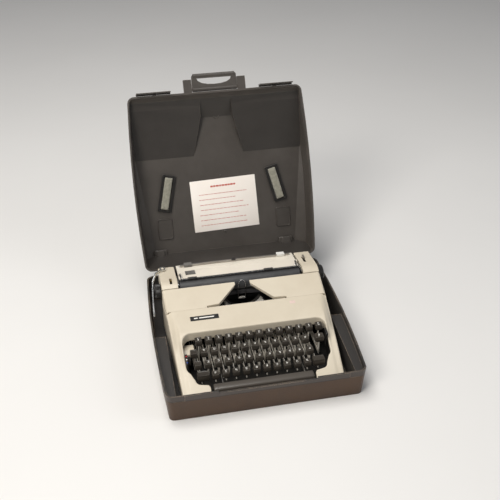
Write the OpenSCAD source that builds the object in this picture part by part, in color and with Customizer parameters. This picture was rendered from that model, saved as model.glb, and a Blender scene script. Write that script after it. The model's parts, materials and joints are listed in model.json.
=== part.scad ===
// Portable typewriter sitting in its open carrying case.
// Origin: centre of the case's underside. +X right, +Y back, +Z up.

/* [Case] */
// Width of the case at its corners
case_w = 360; // [356:1:372]
// Depth of the case, front to back
case_d = 357; // [356:1:372]
// Height of the tray up to its rim
tray_h = 60; // [59:0.5:60]
// How far each side bows outwards at the middle
side_bow = 7; // [6:0.5:9]
// Thickness of the moulded walls
case_wall = 3; // [2.5:0.1:3.2]
// How far the lid stands open
lid_open = 118.6; // [90:0.1:125]

/* [Keyboard] */
// Distance between neighbouring keys
key_pitch = 19; // [19:0.05:19.1]
// Width of a key's foot
key_w = 13.4; // [12:0.1:13.6]

/* [Carriage] */
// Radius of the platen
platen_r = 16; // [15:0.1:16]
// Half length of the platen's rubber
platen_half = 121; // [118:0.5:121]
// Radius of the platen knobs
knob_r = 15; // [13:0.5:15.5]

/* [Type basket] */
// Number of type bars
bar_count = 43; // [41:2:43]
// Length of a type bar from its pivot
bar_len = 46; // [45:0.5:47]
// Half angle of the fan of type bars
fan_half = 54; // [50:1:54]

/* [Hidden] */
$fn = 48;
hull_fn = 32;

eps = 0.01;                      // thickness of the slabs that a hull joins
half_w = case_w / 2;
half_d = case_d / 2;
corner_r = 14;                   // corners of the case in plan
draft = 4.3;                     // how much narrower the tray's foot is
rim_gap = 0.4;                   // parting line between tray and lid
lid_z = tray_h + rim_gap;        // rim plane of the closed lid
hinge_y = half_d + 4.3;          // lid hinge axis
hinge_z = tray_h + 3.1;
hinge_r = 3.2;
hinge_pin_r = 1.5;
fit = 0.05;                      // radial clearance of every running fit
lid_deep = 60;                   // inside depth of the lid at its back
lid_shallow = 34;                // inside depth of the lid at its front
ledge_x = 162;                   // inner edge of the tray's side shelves
ledge_z = 50;
lip_y = -152.5;                  // front of the machine
seam_y = 17.1;                   // seam between hood and ribbon cover
part_y = 72.4;                   // back edge of the ribbon cover
back_y = 157;                    // back of the machine
hood_z = 89.5;                   // top of the hood at the seam
recess_y = -42;                  // back edge of the key recess
shell = 2.6;                     // wall of the machine's covers
floor_z = 10.5;                  // top of the base pan's floor
pivot_y = 88;                    // rod that all key levers turn on
pivot_z = 26;
rod_r = 2;
lever_t = 1.2;                   // sheet thickness of a key lever
print_y = 71;                    // where the struck type meets the ribbon
print_z = 88.9;
basket_tilt = -15;               // lean of the type basket
platen_y = 92;
platen_z = 84.5;
platen_shaft_r = 4;
cover_in = 125.5;                // inner face of the carriage end covers
cover_out = 157.5;
frame_in = 122.6;                // side plates of the carriage frame
frame_t = 2;
roller_y = 105.4;
roller_z = 68.6;
table_front = [98, 103.5];       // paper table, top edge at its front (y, z)
table_back = [156.5, 94.5];
table_half = 121;
table_t = 2;
rail_y = 129;                    // carriage rail
rail_z = 55;
rail_s = 6;                      // its square section
bail_y = 95;
bail_z = 104.6;
bail_pivot = [112, 104.6];
margin_y = 149;
margin_z = 98.8;
spool_x = 100;
spool_y = 45;
spool_z = 66;
lever_root = [-149, 143, 100];   // pivot of the return lever
rows_y = [-58, -77, -96, -115];  // number row to bottom row
rows_z = [79, 67.5, 55.5, 44.5]; // tops of the key caps
rows_x = [-106.5, -99, -94.5, -84.5];

cream = "#e2d8c2";
charcoal = "#4a4540";
black = "#1d1c1b";
steel = "#b9b9b6";
slate = "#3a4048";

// ---- shared shapes -------------------------------------------------------

// Half width of the case at depth y: the sides bow outwards.
function side_x(y) = half_w + side_bow * (1 - pow(y / half_d, 2));

// One corner of the case's outline, in plan, at sign (sx, sy).
function corner(sx, sy, inset) = let (
        cy = half_d - corner_r, cx = side_x(cy) - corner_r, r = corner_r - min(inset, corner_r - 1))
    [for (i = [0 : 6]) let (a = sx * sy > 0 ? 15 * i : 90 - 15 * i)
        [sx * (cx - (inset + r - corner_r) + r * cos(a)),
         sy * (cy - (inset + r - corner_r) + r * sin(a))]];

// One bowed side between its corners.
function side(sx, sy, inset) = [for (i = [-3 : 3]) let (y = sy * i * (half_d - 2 * corner_r) / 3)
    [sx * (side_x(y) - inset), y]];

function case_outline(inset) = concat(corner(1, 1, inset), corner(-1, 1, inset),
    side(-1, -1, inset), corner(-1, -1, inset), corner(1, -1, inset), side(1, 1, inset));

module case_slab(inset, z) {
    translate([0, 0, z]) linear_extrude(eps) polygon(case_outline(inset));
}

// A side profile, points (y, z), extruded across the machine from x0 to x1.
module across(x0, x1, points) {
    translate([x0, 0, 0]) rotate([90, 0, 90]) linear_extrude(x1 - x0) polygon(points);
}

// A round bar along X.
module bar_x(x0, x1, y, z, r) {
    translate([x0, y, z]) rotate([0, 90, 0]) cylinder(h = x1 - x0, r = r);
}

module box(lo, hi) {
    translate(lo) cube(hi - lo);
}

module mirrored() {
    children();
    mirror([1, 0, 0]) children();
}

// Whatever belongs to the lid is drawn closed, then swung open on its hinge.
module opened() {
    translate([0, hinge_y, hinge_z]) rotate([-lid_open, 0, 0])
        translate([0, -hinge_y, -hinge_z]) children();
}

// A hinge knuckle and the web that joins it to a wall of the case.
module case_lug(x0, x1, web) {
    difference() {
        union() {
            bar_x(x0, x1, hinge_y, hinge_z, hinge_r);
            across(x0, x1, web);
        }
        bar_x(x0 - 1, x1 + 1, hinge_y, hinge_z, hinge_pin_r + fit);
    }
}

// ---- carrying case -------------------------------------------------------

module case_tray() color(charcoal) {
    difference() {
        hull() {
            case_slab(draft, 0);
            case_slab(0, tray_h - eps);
        }
        difference() {
            hull() {
                case_slab(draft + case_wall, case_wall);
                case_slab(case_wall, tray_h + eps);
            }
            mirrored() box([ledge_x, -half_d, 0], [half_w + side_bow, -5, ledge_z]);
        }
        mirrored() box([ledge_x + case_wall, -half_d + 12, -1], [half_w - 7, -9, ledge_z - case_wall]);
        box([-89, -half_d - 1, tray_h - 4], [89, -half_d + 8, tray_h + 1]);
        mirrored() box([148, -half_d - 1, tray_h - 13], [176, -half_d + 1.2, tray_h + 1]);
    }
    web = [[half_d - 2, tray_h - 7], [hinge_y + hinge_r, tray_h - 7], [hinge_y + hinge_r, hinge_z],
        [hinge_y - 2.6, hinge_z], [hinge_y - 2.6, tray_h - 0.1], [half_d - 2, tray_h - 0.1]];
    mirrored() case_lug(100, 107.7, web);
    mirrored() case_lug(132.3, 140, web);
}

// Solid shape of the closed lid, t inside its outer skin.
module lid_form(t) {
    top_back = lid_z + lid_deep + case_wall - t;
    top_front = lid_z + lid_shallow + case_wall - t;
    below = t > 0 ? 1 : 0;
    intersection() {
        hull() {
            case_slab(t, lid_z - below);
            case_slab(t + 5, lid_z + 38);
            case_slab(t + 14, lid_z + lid_deep + case_wall);
        }
        across(-half_w - side_bow, half_w + side_bow, [
            [half_d - t, lid_z - below], [half_d - 8 - t, lid_z + 18], [half_d - 24 - t, top_back],
            [150, top_back], [-130 + t, top_front], [-half_d + 8 + t, lid_z + 10],
            [-half_d + t, lid_z - below]]);
        rotate([90, 0, 0]) translate([0, 0, -half_d]) linear_extrude(case_d) polygon([
            [-half_w - side_bow + t, lid_z - below], [-half_w - side_bow + 4 + t, lid_z + 38],
            [-155 + t, lid_z + lid_deep + case_wall + 0.5 - t],
            [155 - t, lid_z + lid_deep + case_wall + 0.5 - t],
            [half_w + side_bow - 4 - t, lid_z + 38], [half_w + side_bow - t, lid_z - below]]);
    }
}

// The sunken wedge on each side of the central channel, outside and inside.
module lid_wedge(t) {
    z_fold = lid_z + 41 + case_wall - t;
    wide = half_w + side_bow;
    y_fold = -53 + t;
    intersection() {
        across(-wide, wide, [[y_fold, z_fold + 40], [y_fold, z_fold], [-150, lid_z + 18 - t],
            [-half_d - 1, lid_z + 12 - t], [-half_d - 1, z_fold + 40]]);
        linear_extrude(200) mirrored() polygon([[56 - t, y_fold], [36 - t, -131],
            [36 - t, -half_d - 1], [wide, -half_d - 1], [wide, y_fold]]);
    }
}

module case_lid() color(charcoal) opened() {
    difference() {
        lid_form(0);
        lid_wedge(0);
        difference() {
            lid_form(case_wall);
            lid_wedge(case_wall);
        }
        mirrored() box([99.6, half_d - 3.3, lid_z - 1], [108.1, half_d + 1, lid_z + 3.4]);
        mirrored() box([131.9, half_d - 3.3, lid_z - 1], [140.4, half_d + 1, lid_z + 3.4]);
    }
    mirrored() case_lug(108.2, 131.8, [[half_d - 2, lid_z + 0.1], [hinge_y, lid_z + 0.1],
        [hinge_y, lid_z + 5], [half_d - 2.5, lid_z + 5]]);
    mirrored() latch_eye();
    mirrored() handle_eye();
    mirrored() pad_frame();
}

module hinge_pins() color(steel) mirrored() bar_x(100, 140, hinge_y, hinge_z, hinge_pin_r);

// Eyes on the lid's front wall for the latches and for the handle.
latch_y = -half_d - 3.2;
latch_z = lid_z + 4;
module latch_eye() {
    difference() {
        union() {
            bar_x(121, 129, latch_y, latch_z, 2.6);
            box([121, latch_y, latch_z - 2.6], [129, -half_d + 2, latch_z + 2.6]);
        }
        bar_x(120, 130, latch_y, latch_z, 1.2 + fit);
    }
}

module latch() {
    difference() {
        union() {
            bar_x(92, 120.6, latch_y, latch_z, 2.6);
            bar_x(129.4, 162, latch_y, latch_z, 2.6);
            box([92, latch_y - 2.6, latch_z - 14], [162, latch_y - 0.4, latch_z]);
        }
        box([120.6, latch_y - 3, latch_z - 3], [129.4, latch_y + 3, latch_z + 4]);
    }
    bar_x(119, 131, latch_y, latch_z, 1.2);
}

module latch_right() color(charcoal) opened() latch();
module latch_left() color(charcoal) opened() mirror([1, 0, 0]) latch();

handle_y = -half_d - 5;
handle_z = lid_z + 6;
module handle_eye() {
    difference() {
        box([47.7, handle_y - 21, handle_z - 4.5], [64, -half_d + 3, handle_z + 4.5]);
        bar_x(47, 66, handle_y, handle_z, 2 + fit);
    }
}

// The handle: a plate with a grip across its end and a finger gap between.
module carry_handle() color(charcoal) opened() {
    bar_x(-64, 64, handle_y, handle_z, 2);
    difference() {
        translate([0, 0, handle_z - 3.5]) linear_extrude(7) polygon([[-47, handle_y + 3],
            [-46, handle_y - 27], [-43, handle_y - 31], [43, handle_y - 31], [46, handle_y - 27],
            [47, handle_y + 3]]);
        translate([0, 0, handle_z - 5]) linear_extrude(10) polygon([for (p = [[-36, 22.5],
            [-34, 17.5], [-26, 12.7], [-14, 10], [0, 9.2], [14, 10], [26, 12.7], [34, 17.5],
            [36, 22.5]]) [p[0], handle_y - p[1]]]);
    }
    bar_x(-43, 43, handle_y - 27.5, handle_z, 4.6);
}

// A place (x, y) against the inside of the closed lid's roof, turned by spin.
roof_slope = (lid_deep - lid_shallow) / (150 + 130 - case_wall);
module under_roof(x, y, spin) {
    translate([x, y, lid_z + lid_deep - (150 - y) * roof_slope]) rotate([atan(roof_slope), 0, 0])
        rotate([0, 0, spin]) children();
}

// Leaning frames that hold the two felt pads.
pad_size = [16, 68];
module pad_frame() under_roof(118, 23, -13.5) difference() {
    box([-14, -39, -4], [14, 39, 1]);
    box([-pad_size[0] / 2 - 2, -pad_size[1] / 2 - 2, -5], [pad_size[0] / 2 + 2, pad_size[1] / 2 + 2, 0]);
}

module lid_pads() color("#a9a48f") opened() mirrored() under_roof(118, 23, -13.5)
    box([-pad_size[0] / 2, -pad_size[1] / 2, -6.5], [pad_size[0] / 2, pad_size[1] / 2, -0.1]);

module reference_card() color("#f0e6d6") opened() under_roof(4, 56.5, -1.4)
    box([-70.5, -55, -0.7], [70.5, 55, -0.1]);

// ---- machine: base, covers ----------------------------------------------

module base_pan() color(black) {
    difference() {
        union() {
            box([-140, -138, floor_z - 1.5], [140, 150, floor_z]);
            mirrored() across(138.4, 140, [[-138, floor_z - 1], [-138, 20], [-60, 45], [10, 60],
                [75, 60], [75, 58.5], [150, 58.5], [150, floor_z - 1]]);
            box([-140, 148.5, floor_z - 1], [140, 150, 40]);
        }
        mirrored() translate([120, 128, 0]) cylinder(h = 20, r = 2.2);
        mirrored() translate([120, -122, 0]) cylinder(h = 20, r = 2.2);
    }
    mirrored() box([75, 22, 58], [139, 70, 60]);
    mirrored() translate([spool_x, spool_y, 59]) cylinder(h = 24, r = 2.4);
    bar_x(-139, 139, pivot_y, pivot_z, rod_r);
    translate([-drum_x, drum_y, floor_z - 1]) cylinder(h = 24, r = 2.4);
}

body_plan = [[-146, lip_y], [146, lip_y], [149, lip_y + 3], [158.5, 73], [153.5, 155], [150.5, 158],
    [-150.5, 158], [-153.5, 155], [-158.5, 73], [-149, lip_y + 3]];
inner_plan = [[-146, lip_y + shell], [146, lip_y + shell], [155.9, 73], [150.5, 155.4],
    [-150.5, 155.4], [-155.9, 73]];
recess_half = [[121, recess_y], [131.5, recess_y - 4.5], [136, recess_y - 15], [135, -97],
    [128, -116], [118, -131], [97, -135], [97, lip_y + shell]];
recess_plan = concat(recess_half, [for (i = [7 : -1 : 0]) [-recess_half[i][0], recess_half[i][1]]]);

// What is cut off where the hood falls away towards the side wall.
module shoulder() multmatrix([[1, 0.17, 0, 0], [0, 1, 0, 0], [0, 0.119, 1, 0]])
    translate([0, seam_y + 1, 0]) rotate([90, 0, 0]) linear_extrude(seam_y + 1 - recess_y)
        polygon([[150.1, 87.5], [171, 65], [190, 65], [190, 120], [150.1, 120]]);

module body_shell() color(cream) {
    difference() {
        linear_extrude(120) polygon(body_plan);
        translate([0, 0, -1]) linear_extrude(14) square(400, center = true);
        // everything above the front slope and the side walls
        across(-200, 200, [[-200, 121], [-200, 24], [lip_y, 24], [lip_y + 3.5, 28], [-98, 48],
            [-61, 61], [recess_y, 67.3], [recess_y, hood_z - 7.05], [seam_y - 0.3, hood_z],
            [seam_y - 0.3, 74.5], [part_y + 0.5, 74.5], [part_y + 0.5, 60], [200, 60], [200, 121]]);
        difference() {
            intersection() {
                translate([0, 0, -1]) linear_extrude(125) polygon(inner_plan);
                across(-200, 200, [[-200, -1], [-200, 24 - shell], [-98, 48 - shell],
                    [-61, 61 - shell], [recess_y + shell, 67.3 - shell],
                    [recess_y + shell, hood_z - 7.05 - shell], [seam_y - 3, hood_z - shell],
                    [seam_y - 3, 200], [200, 200], [200, -1]]);
            }
            mirrored() translate([-shell, 0, -shell]) shoulder();
        }
        mirrored() shoulder();
        translate([0, 0, 14]) linear_extrude(150) polygon(recess_plan);
        // the lip runs lower in front of the space bar
        translate([-97, lip_y - 1, 21.4]) cube([194, 6, 20]);
    }
}

cover_plan = [[-155.8, seam_y + 0.3], [155.8, seam_y + 0.3], [158, part_y], [-158, part_y]];
vee = [[-78, 12], [78, 12], [78, 21.5], [54, 23.5], [15, 66], [15, 80], [-15, 80], [-15, 66],
    [-54, 23.5], [-78, 21.5]];

module ribbon_cover() color(cream) {
    top_z = hood_z + 11;
    difference() {
        linear_extrude(130) polygon(cover_plan);
        across(-200, 200, [[0, hood_z], [seam_y + 0.3, hood_z], [part_y, top_z], [100, top_z],
            [100, 140], [0, 140]]);
        across(-153.4, 153.4, [[0, -1], [0, hood_z - shell], [seam_y + 0.3, hood_z - shell],
            [part_y + 0.5, top_z - shell], [part_y + 0.5, -1]]);
        across(-200, 200, [[0, -1], [0, 75], [100, 75], [100, -1]]);
        linear_extrude(130) polygon(vee);
    }
    box([-84, seam_y + 0.3, hood_z - 6], [84, seam_y + 3.5, hood_z - 3.6]);
    mirrored() box([78.2, seam_y + 0.3, hood_z - 5], [84, seam_y + 3.5, hood_z - 1]);
}

module nameplate() color(black) translate([-87, -8, 86.55]) rotate([6.8, 0, 0])
    translate([-27, -5.5, 0.02]) cube([54, 11, 0.8]);

module rubber_feet() color(black) mirrored() for (y = [-122, 128])
    translate([120, y, 0]) {
        translate([0, 0, case_wall + 0.05]) cylinder(h = floor_z - 1.55 - case_wall, r = 8);
        cylinder_plug();
    }

module cylinder_plug() translate([0, 0, floor_z - 2]) cylinder(h = 3.5, r = 2.1);

// ---- machine: type basket -----------------------------------------------

// Basket frame: Y towards the platen, the fan's axis through the print point.
module basket() translate([0, print_y, print_z]) rotate([basket_tilt, 0, 0]) children();

module sector(r0, r1, half, y0, y1) translate([0, y1, 0]) rotate([90, 0, 0])
    linear_extrude(y1 - y0) difference() {
        intersection() {
            circle(r = r1);
            polygon([[0, 0], [-100 * tan(half), -100], [100 * tan(half), -100]]);
        }
        circle(r = r0);
    }

module segment() color("#34322f") basket() difference() {
    union() {
        sector(bar_len - 6, bar_len + 6, fan_half + 1.8, 0.6, 6);
        sector(bar_len + 3, bar_len + 6, fan_half + 1.8, -34, 1);
    }
    translate([-1.2, -5, -60]) cube([2.4, 9, 30]);
}

// One type bar at rest, pointing at the typist with its type face up.
module type_bar() {
    translate([-0.5, -bar_len + 2, -2 - bar_len]) cube([1, bar_len - 2.2, 4]);
    translate([-0.9, -bar_len - 1.5, -2 - bar_len]) cube([1.8, 4.5, 6]);
}

module typebars() color(steel) basket() for (i = [0 : bar_count - 1])
    if (i != (bar_count - 1) / 2)
        rotate([0, fan_half * (2 * i / (bar_count - 1) - 1), 0]) type_bar();

module typebar_h() color(steel) basket() type_bar();

module ribbon_vibrator() color(steel) {
    translate([0, 73.8, 0]) rotate([90, 0, 0]) linear_extrude(1.2) difference() {
        polygon([[-8.2, 57], [8.2, 57], [8.2, 94], [4.2, 102.5], [-4.2, 102.5], [-8.2, 94]]);
        polygon([[-6.6, 61], [6.6, 61], [6.6, 93.6], [3.2, 100.9], [-3.2, 100.9], [-6.6, 93.6]]);
    }
}

ribbon_path = [[-spool_x, 63.1], [-12, 74.5], [12, 74.5], [spool_x, 63.1]];
module ribbon() color(black) translate([0, 0, 68]) linear_extrude(9.5)
    polygon(concat(ribbon_path, [for (i = [3 : -1 : 0]) ribbon_path[i] + [0, 0.4]]));

module ribbon_spool() {
    difference() {
        union() {
            cylinder(h = 1, r = 22);
            cylinder(h = 13.6, r = 17.8);
            translate([0, 0, 12.6]) cylinder(h = 1, r = 22);
        }
        translate([0, 0, -1]) cylinder(h = 20, r = 2.4 + fit);
        for (a = [0 : 120 : 240]) rotate([0, 0, a]) translate([11, 0, -1]) cylinder(h = 20, r = 3);
    }
}
module ribbon_spool_left() color("#55524c") translate([-spool_x, spool_y, spool_z - 1]) ribbon_spool();
module ribbon_spool_right() color("#55524c") translate([spool_x, spool_y, spool_z - 1]) ribbon_spool();

module card_holders() color("#8d97a3") mirrored() {
    box([17, 74.9, 84], [98, 75.6, 97.2]);
    box([76, 73.4, 60.05], [86, 75.6, 84.5]);
    box([76, 64, 60.05], [86, 75.6, 61.2]);
}

module carriage_rail() color(steel) box([-138.3, rail_y - rail_s / 2, rail_z - rail_s / 2],
    [138.3, rail_y + rail_s / 2, rail_z + rail_s / 2]);

drum_x = 108;
drum_y = 122;
module spring_drum() color("#8a7a55") translate([-drum_x, drum_y, 13]) difference() {
    cylinder(h = 15, r = 14);
    translate([0, 0, -1]) cylinder(h = 20, r = 2.4 + fit);
    translate([0, 0, 3]) difference() {
        cylinder(h = 9, r = 15);
        translate([0, 0, -1]) cylinder(h = 11, r = 12.6);
    }
    translate([8, 0, 12]) cylinder(h = 5, r = 1.6);
}

module colour_selector() color(black) {
    box([-129.6, -95, 52], [-125.8, -84, 64]);
    box([-128.8, -91, 18], [-127.6, -86, 53]);
}

// ---- carriage -----------------------------------------------------------

cover_profile = [[76.5, 62], [76.5, 98.2], [part_y + 1.4, 98.6], [part_y + 1.4, 101.4],
    [80, 105.2], [92, 106.5], [back_y, 93], [back_y, 62]];
cover_hollow = [[78.7, 61], [78.7, 98.8], [81.5, 102.4], [92, 104], [back_y - 2.2, 91],
    [back_y - 2.2, 61]];

module end_cover() {
    difference() {
        across(cover_in, cover_out, cover_profile);
        across(cover_in + 2.2, cover_out - 2.2, cover_hollow);
        bar_x(cover_in - 1, cover_out + 1, platen_y, platen_z, 7);
    }
}

module end_cover_left() color(cream) {
    difference() {
        mirror([1, 0, 0]) end_cover();
        box([-140.5, 83, 90], [-135.5, 103, 110]);
    }
    translate([lever_root[0], lever_root[1], 94]) cylinder(h = 8, r = 2.5);
}

module end_cover_right() color(cream) difference() {
    end_cover();
    box([135.5, 108, 90], [140.5, 134, 110]);
}

module carriage_frame() color("#6d6c69") {
    difference() {
        mirrored() across(frame_in, frame_in + frame_t, [[80, 63], [80, 98], [104, 98], [150, 90],
            [150, 63]]);
        bar_x(-130, 130, platen_y, platen_z, platen_shaft_r + fit);
        bar_x(-130, 130, roller_y, roller_z, 2 + fit);
    }
    box([-frame_in - 1, 112, 63], [frame_in + 1, 150, 65]);
    difference() {
        box([-24, rail_y - 8, rail_z - 8], [24, rail_y + 8, 64]);
        box([-25, rail_y - rail_s / 2 - 0.15, rail_z - rail_s / 2 - 0.15],
            [25, rail_y + rail_s / 2 + 0.15, rail_z + rail_s / 2 + 0.15]);
    }
    // brackets that carry the paper table and the end covers
    mirrored() box([frame_in - 8, 140, 64], [frame_in + 0.5, 142, 94]);
    mirrored() box([frame_in + 1, 118, 66], [cover_in - 0.05, 128, 86]);
}

module platen() color(slate) {
    bar_x(-platen_half, platen_half, platen_y, platen_z, platen_r);
    bar_x(-160, 160, platen_y, platen_z, platen_shaft_r);
}

module platen_knob() {
    difference() {
        union() {
            bar_x(158.3, 170, platen_y, platen_z, knob_r - 0.8);
            bar_x(159.5, 168.5, platen_y, platen_z, knob_r);
        }
        bar_x(150, 160.05, platen_y, platen_z, platen_shaft_r + 0.02);
        for (a = [0 : 15 : 345]) translate([0, platen_y, platen_z]) rotate([a, 0, 0])
            box([157, -0.6, knob_r - 0.7], [172, 0.6, knob_r + 1]);
    }
}
module platen_knob_right() color(black) platen_knob();
module platen_knob_left() color(black) mirror([1, 0, 0]) platen_knob();

module feed_rollers() color("#3b3936") {
    bar_x(-124.4, 124.4, roller_y, roller_z, 2);
    for (x = [-84, -28, 28, 84]) bar_x(x - 14, x + 14, roller_y, roller_z, 4.5);
}

table_tilt = atan((table_front[1] - table_back[1]) / (table_back[0] - table_front[0]));
table_len = (table_back[0] - table_front[0]) / cos(table_tilt);

// Frame of the paper table: origin at its front edge, Y along its slope.
module on_table() translate([0, table_front[0], table_front[1]]) rotate([-table_tilt, 0, 0])
    children();

module paper_table() color("#eae3d2") difference() {
    union() {
        on_table() box([-table_half, 0, -table_t], [table_half, table_len, 0]);
        mirrored() box([119, bail_pivot[0] - 3, 100], [120.6, bail_pivot[0] + 3, bail_pivot[1] + 2.6]);
    }
    bar_x(-130, 130, bail_pivot[0], bail_pivot[1], 1.2 + fit);
}

module paper_bail() color("#2f3136") {
    box([-117.8, bail_y - 2, bail_z - 0.6], [117.8, bail_y + 2, bail_z + 0.2]);
    mirrored() across(116.2, 117.8, [[93, bail_z - 0.6], [93, bail_z + 1.4],
        [bail_pivot[0], bail_pivot[1] + 2], [bail_pivot[0] + 2, bail_pivot[1]],
        [bail_pivot[0], bail_pivot[1] - 2], [99, bail_z - 0.6]]);
    mirrored() bar_x(117, 120.5, bail_pivot[0], bail_pivot[1], 1.2);
    for (x = [-95, 58]) bar_x(x - 9, x + 9, bail_y, bail_z + 0.5, 2.8);
}

module margin_rail() color(steel) {
    box([-113, margin_y - 2, margin_z - 1.2], [113, margin_y + 2, margin_z + 1.2]);
    mirrored() box([110.5, margin_y - 2, 96.4], [113, margin_y + 2, margin_z]);
}

module margin_stop() difference() {
    box([-8, margin_y - 4.5, 96.9], [8, margin_y + 4.5, margin_z + 3.4]);
    box([-9, margin_y - 2.3, 96], [9, margin_y + 2.3, margin_z + 1.5]);
}
module margin_stop_left() color("#8c8a85") translate([-97, 0, 0]) margin_stop();
module margin_stop_right() color("#e8e6e0") translate([95, 0, 0]) margin_stop();

module paper_guide() color("#83807b") on_table() {
    box([-106, 14, 0.3], [-86, 29, 1.4]);
    for (i = [0 : 6]) box([-105 + 2.8 * i, 15, 1], [-103.6 + 2.8 * i, 28, 2.2]);
}

module line_space_lever() color("#b08d3c") {
    box([-139.6, 91, 91], [-136.4, 95, 107]);
    box([-139.6, 90, 106], [-136.4, 96, 108.4]);
}

module paper_release_lever() color(steel) {
    box([136.4, 123, 88], [139.6, 129, 101]);
    box([136.4, 121, 100.6], [139.6, 131, 105]);
}

// Route of the return lever from its root to its tip.
lever_route = [lever_root, [-165, 128, 100.6], [-172, 112, 93.5], [-175.4, 80, 87], [-177.4, 48, 82],
    [-177.9, 28, 78]];
module return_lever() color("#d5d7d8") {
    difference() {
        translate([lever_root[0], lever_root[1], lever_root[2] - 1.6]) cylinder(h = 3, r = 6);
        translate([lever_root[0], lever_root[1], 90]) cylinder(h = 20, r = 2.5 + fit);
    }
    difference() {
        for (i = [0 : 4]) hull() {
            translate(lever_route[i]) lever_bead(i);
            translate(lever_route[i + 1]) lever_bead(i + 1);
        }
        translate([lever_root[0], lever_root[1], 90]) cylinder(h = 20, r = 4);
    }
}
module lever_bead(i) translate([0, 0, -0.2]) cylinder(h = i == 0 ? 2.8 : 5.4, r = 1.4, center = true,
    $fn = hull_fn);

// ---- keyboard -----------------------------------------------------------

// Height of a key lever's middle at depth y.
function lever_z(y) = pivot_z + (pivot_y - y) * 0.0099;

// Lever of a key: a strip on edge from the pivot rod to y, at x.
module key_lever(x, y) difference() {
    union() {
        across(x - lever_t / 2, x + lever_t / 2, [[pivot_y, pivot_z - 3], [pivot_y, pivot_z + 3],
            [y - 2.5, lever_z(y) + 3], [y - 2.5, lever_z(y) - 3]]);
        bar_x(x - lever_t / 2, x + lever_t / 2, pivot_y, pivot_z, 4.5);
    }
    bar_x(x - 1, x + 1, pivot_y, pivot_z, rod_r + fit);
}

module rounded_block(w, d, h, r) linear_extrude(h) union() {
    square([w - 2 * r, d], center = true);
    square([w, d - 2 * r], center = true);
    for (sx = [-1, 1], sy = [-1, 1]) translate([sx * (w / 2 - r), sy * (d / 2 - r)]) circle(r = r);
}

// Cap of a key with its top at z.
module key_cap(x, y, z, w) {
    translate([x, y, z - 12]) rounded_block(w, key_w, 9.6, 2.2);
    translate([x, y, z - 3]) rounded_block(w - 2, key_w - 2, 3, 2);
}

// A whole key: cap, stem and lever. lever_x lets the lever step aside.
module key(x, y, z, w = key_w, lever_x = undef) {
    lx = is_undef(lever_x) ? x : lever_x;
    key_lever(lx, y);
    box([lx - lever_t / 2, y - 2.5, lever_z(y)], [lx + lever_t / 2, y + 2.5, z - 11]);
    key_cap(x, y, z, w);
}

module key_row(row, count) for (i = [0 : count - 1])
    key(rows_x[row] + key_pitch * i, rows_y[row], rows_z[row]);

module number_keys() color(black) key_row(0, 13);
module upper_letter_keys() color(black) key_row(1, 11);
module lower_letter_keys() color(black) key_row(3, 10);
module home_key(i) color(black) key(rows_x[2] + key_pitch * (i - 1), rows_y[2], rows_z[2]);
module tab_key() color(black) key(-118, rows_y[1], rows_z[1]);
module backspace_key() color(black) key(118, rows_y[1], rows_z[1], 17);
module shift_lock() color(black) key(-113.5, rows_y[2], rows_z[2]);
module shift_left() color(black) key(-107, rows_y[3], rows_z[3], 23, -109.9);
module shift_right() color(black) key(107.5, rows_y[3], rows_z[3], 22, 106.9);

module space_bar() color("#2b2a29") {
    translate([0, -142.7, 27.5]) rounded_block(184, 12, 6.5, 2.5);
    translate([0, -142.7, 33]) rounded_block(182, 10, 4, 2.5);
    for (x = [-73.3, 78.6]) {
        key_lever(x, -138);
        box([x - lever_t / 2, -140.5, lever_z(-138) - 3], [x + lever_t / 2, -137.5, 29]);
    }
}

// ---- selection ----------------------------------------------------------

case_tray();
case_lid();
hinge_pins();
carry_handle();
latch_left();
latch_right();
lid_pads();
reference_card();
base_pan();
body_shell();
ribbon_cover();
nameplate();
rubber_feet();
segment();
typebars();
typebar_h();
ribbon_vibrator();
ribbon();
ribbon_spool_left();
ribbon_spool_right();
card_holders();
carriage_rail();
spring_drum();
colour_selector();
carriage_frame();
end_cover_left();
end_cover_right();
paper_table();
platen();
platen_knob_left();
platen_knob_right();
feed_rollers();
paper_bail();
margin_rail();
margin_stop_left();
margin_stop_right();
paper_guide();
line_space_lever();
paper_release_lever();
return_lever();
space_bar();
shift_left();
shift_right();
shift_lock();
backspace_key();
tab_key();
number_keys();
upper_letter_keys();
lower_letter_keys();
home_key(1);  // home_key_01
home_key(2);  // home_key_02
home_key(3);  // home_key_03
home_key(4);  // home_key_04
home_key(5);  // home_key_05
home_key(6);  // home_key_06
home_key(7);  // home_key_07
home_key(8);  // home_key_08
home_key(9);  // home_key_09
home_key(10);  // home_key_10
home_key(11);  // home_key_11
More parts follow.
